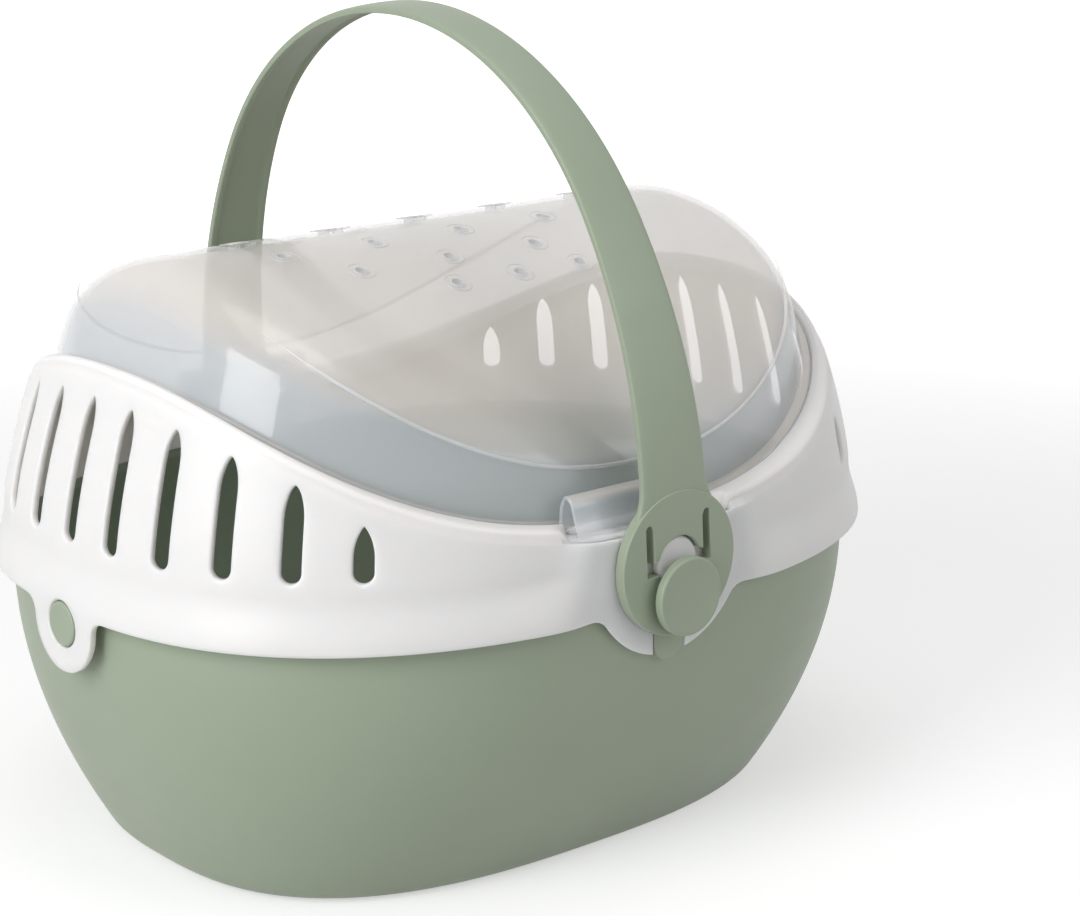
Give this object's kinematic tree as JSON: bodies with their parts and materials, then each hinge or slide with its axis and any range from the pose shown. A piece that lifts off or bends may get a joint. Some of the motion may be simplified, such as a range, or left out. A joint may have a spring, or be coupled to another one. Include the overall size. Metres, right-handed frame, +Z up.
{
  "type": "small pet carrier",
  "caption": "Oval carrier for small pets: flared tub, slotted collar, clear vaulted lift-off lid and a folding strap handle.",
  "frame": {"origin": "middle of the flat base the tub stands on", "axes": "+X along the length, towards the end the handle leans away from; +Y across the width; +Z up"},
  "size_m": [0.3024, 0.2552, 0.2755],
  "materials": {
    "green_plastic": "fine satin, moulded",
    "white_plastic": "smooth satin, moulded",
    "clear_plastic": "clear, glossy, slightly hazy"
  },
  "bodies": {
    "shell": {"tub": "green_plastic", "collar": "white_plastic", "front_hub": "white_plastic", "rear_hub": "white_plastic"},
    "cover": {"lid": "clear_plastic"},
    "bail": {"handle": "green_plastic"},
    "front_push": {"front_button": "green_plastic"},
    "rear_push": {"rear_button": "green_plastic"},
    "left_snap": {"left_stud": "green_plastic"},
    "right_snap": {"right_stud": "green_plastic"}
  },
  "joints": [
    {"name": "handle_fold", "type": "hinge", "parent": "shell", "child": "bail", "pos_m": [0, 0, 0.11], "axis": [0, 1, 0], "range_deg": [-66.5, 73.5]},
    {"name": "lid_lift", "type": "slide", "parent": "shell", "child": "cover", "axis": [0, 0, 1], "range_m": [0, 0.03]},
    {"name": "front_button_press", "type": "slide", "parent": "bail", "child": "front_push", "axis": [0, 1, 0], "range_m": [0, 0.0015], "stiffness_N_per_m": 700},
    {"name": "rear_button_press", "type": "slide", "parent": "bail", "child": "rear_push", "axis": [0, -1, 0], "range_m": [0, 0.0015], "stiffness_N_per_m": 700},
    {"name": "left_stud_press", "type": "slide", "parent": "shell", "child": "left_snap", "axis": [1, 0, 0], "range_m": [0, 0.003], "stiffness_N_per_m": 900},
    {"name": "right_stud_press", "type": "slide", "parent": "shell", "child": "right_snap", "axis": [-1, 0, 0], "range_m": [0, 0.003], "stiffness_N_per_m": 900}
  ]
}
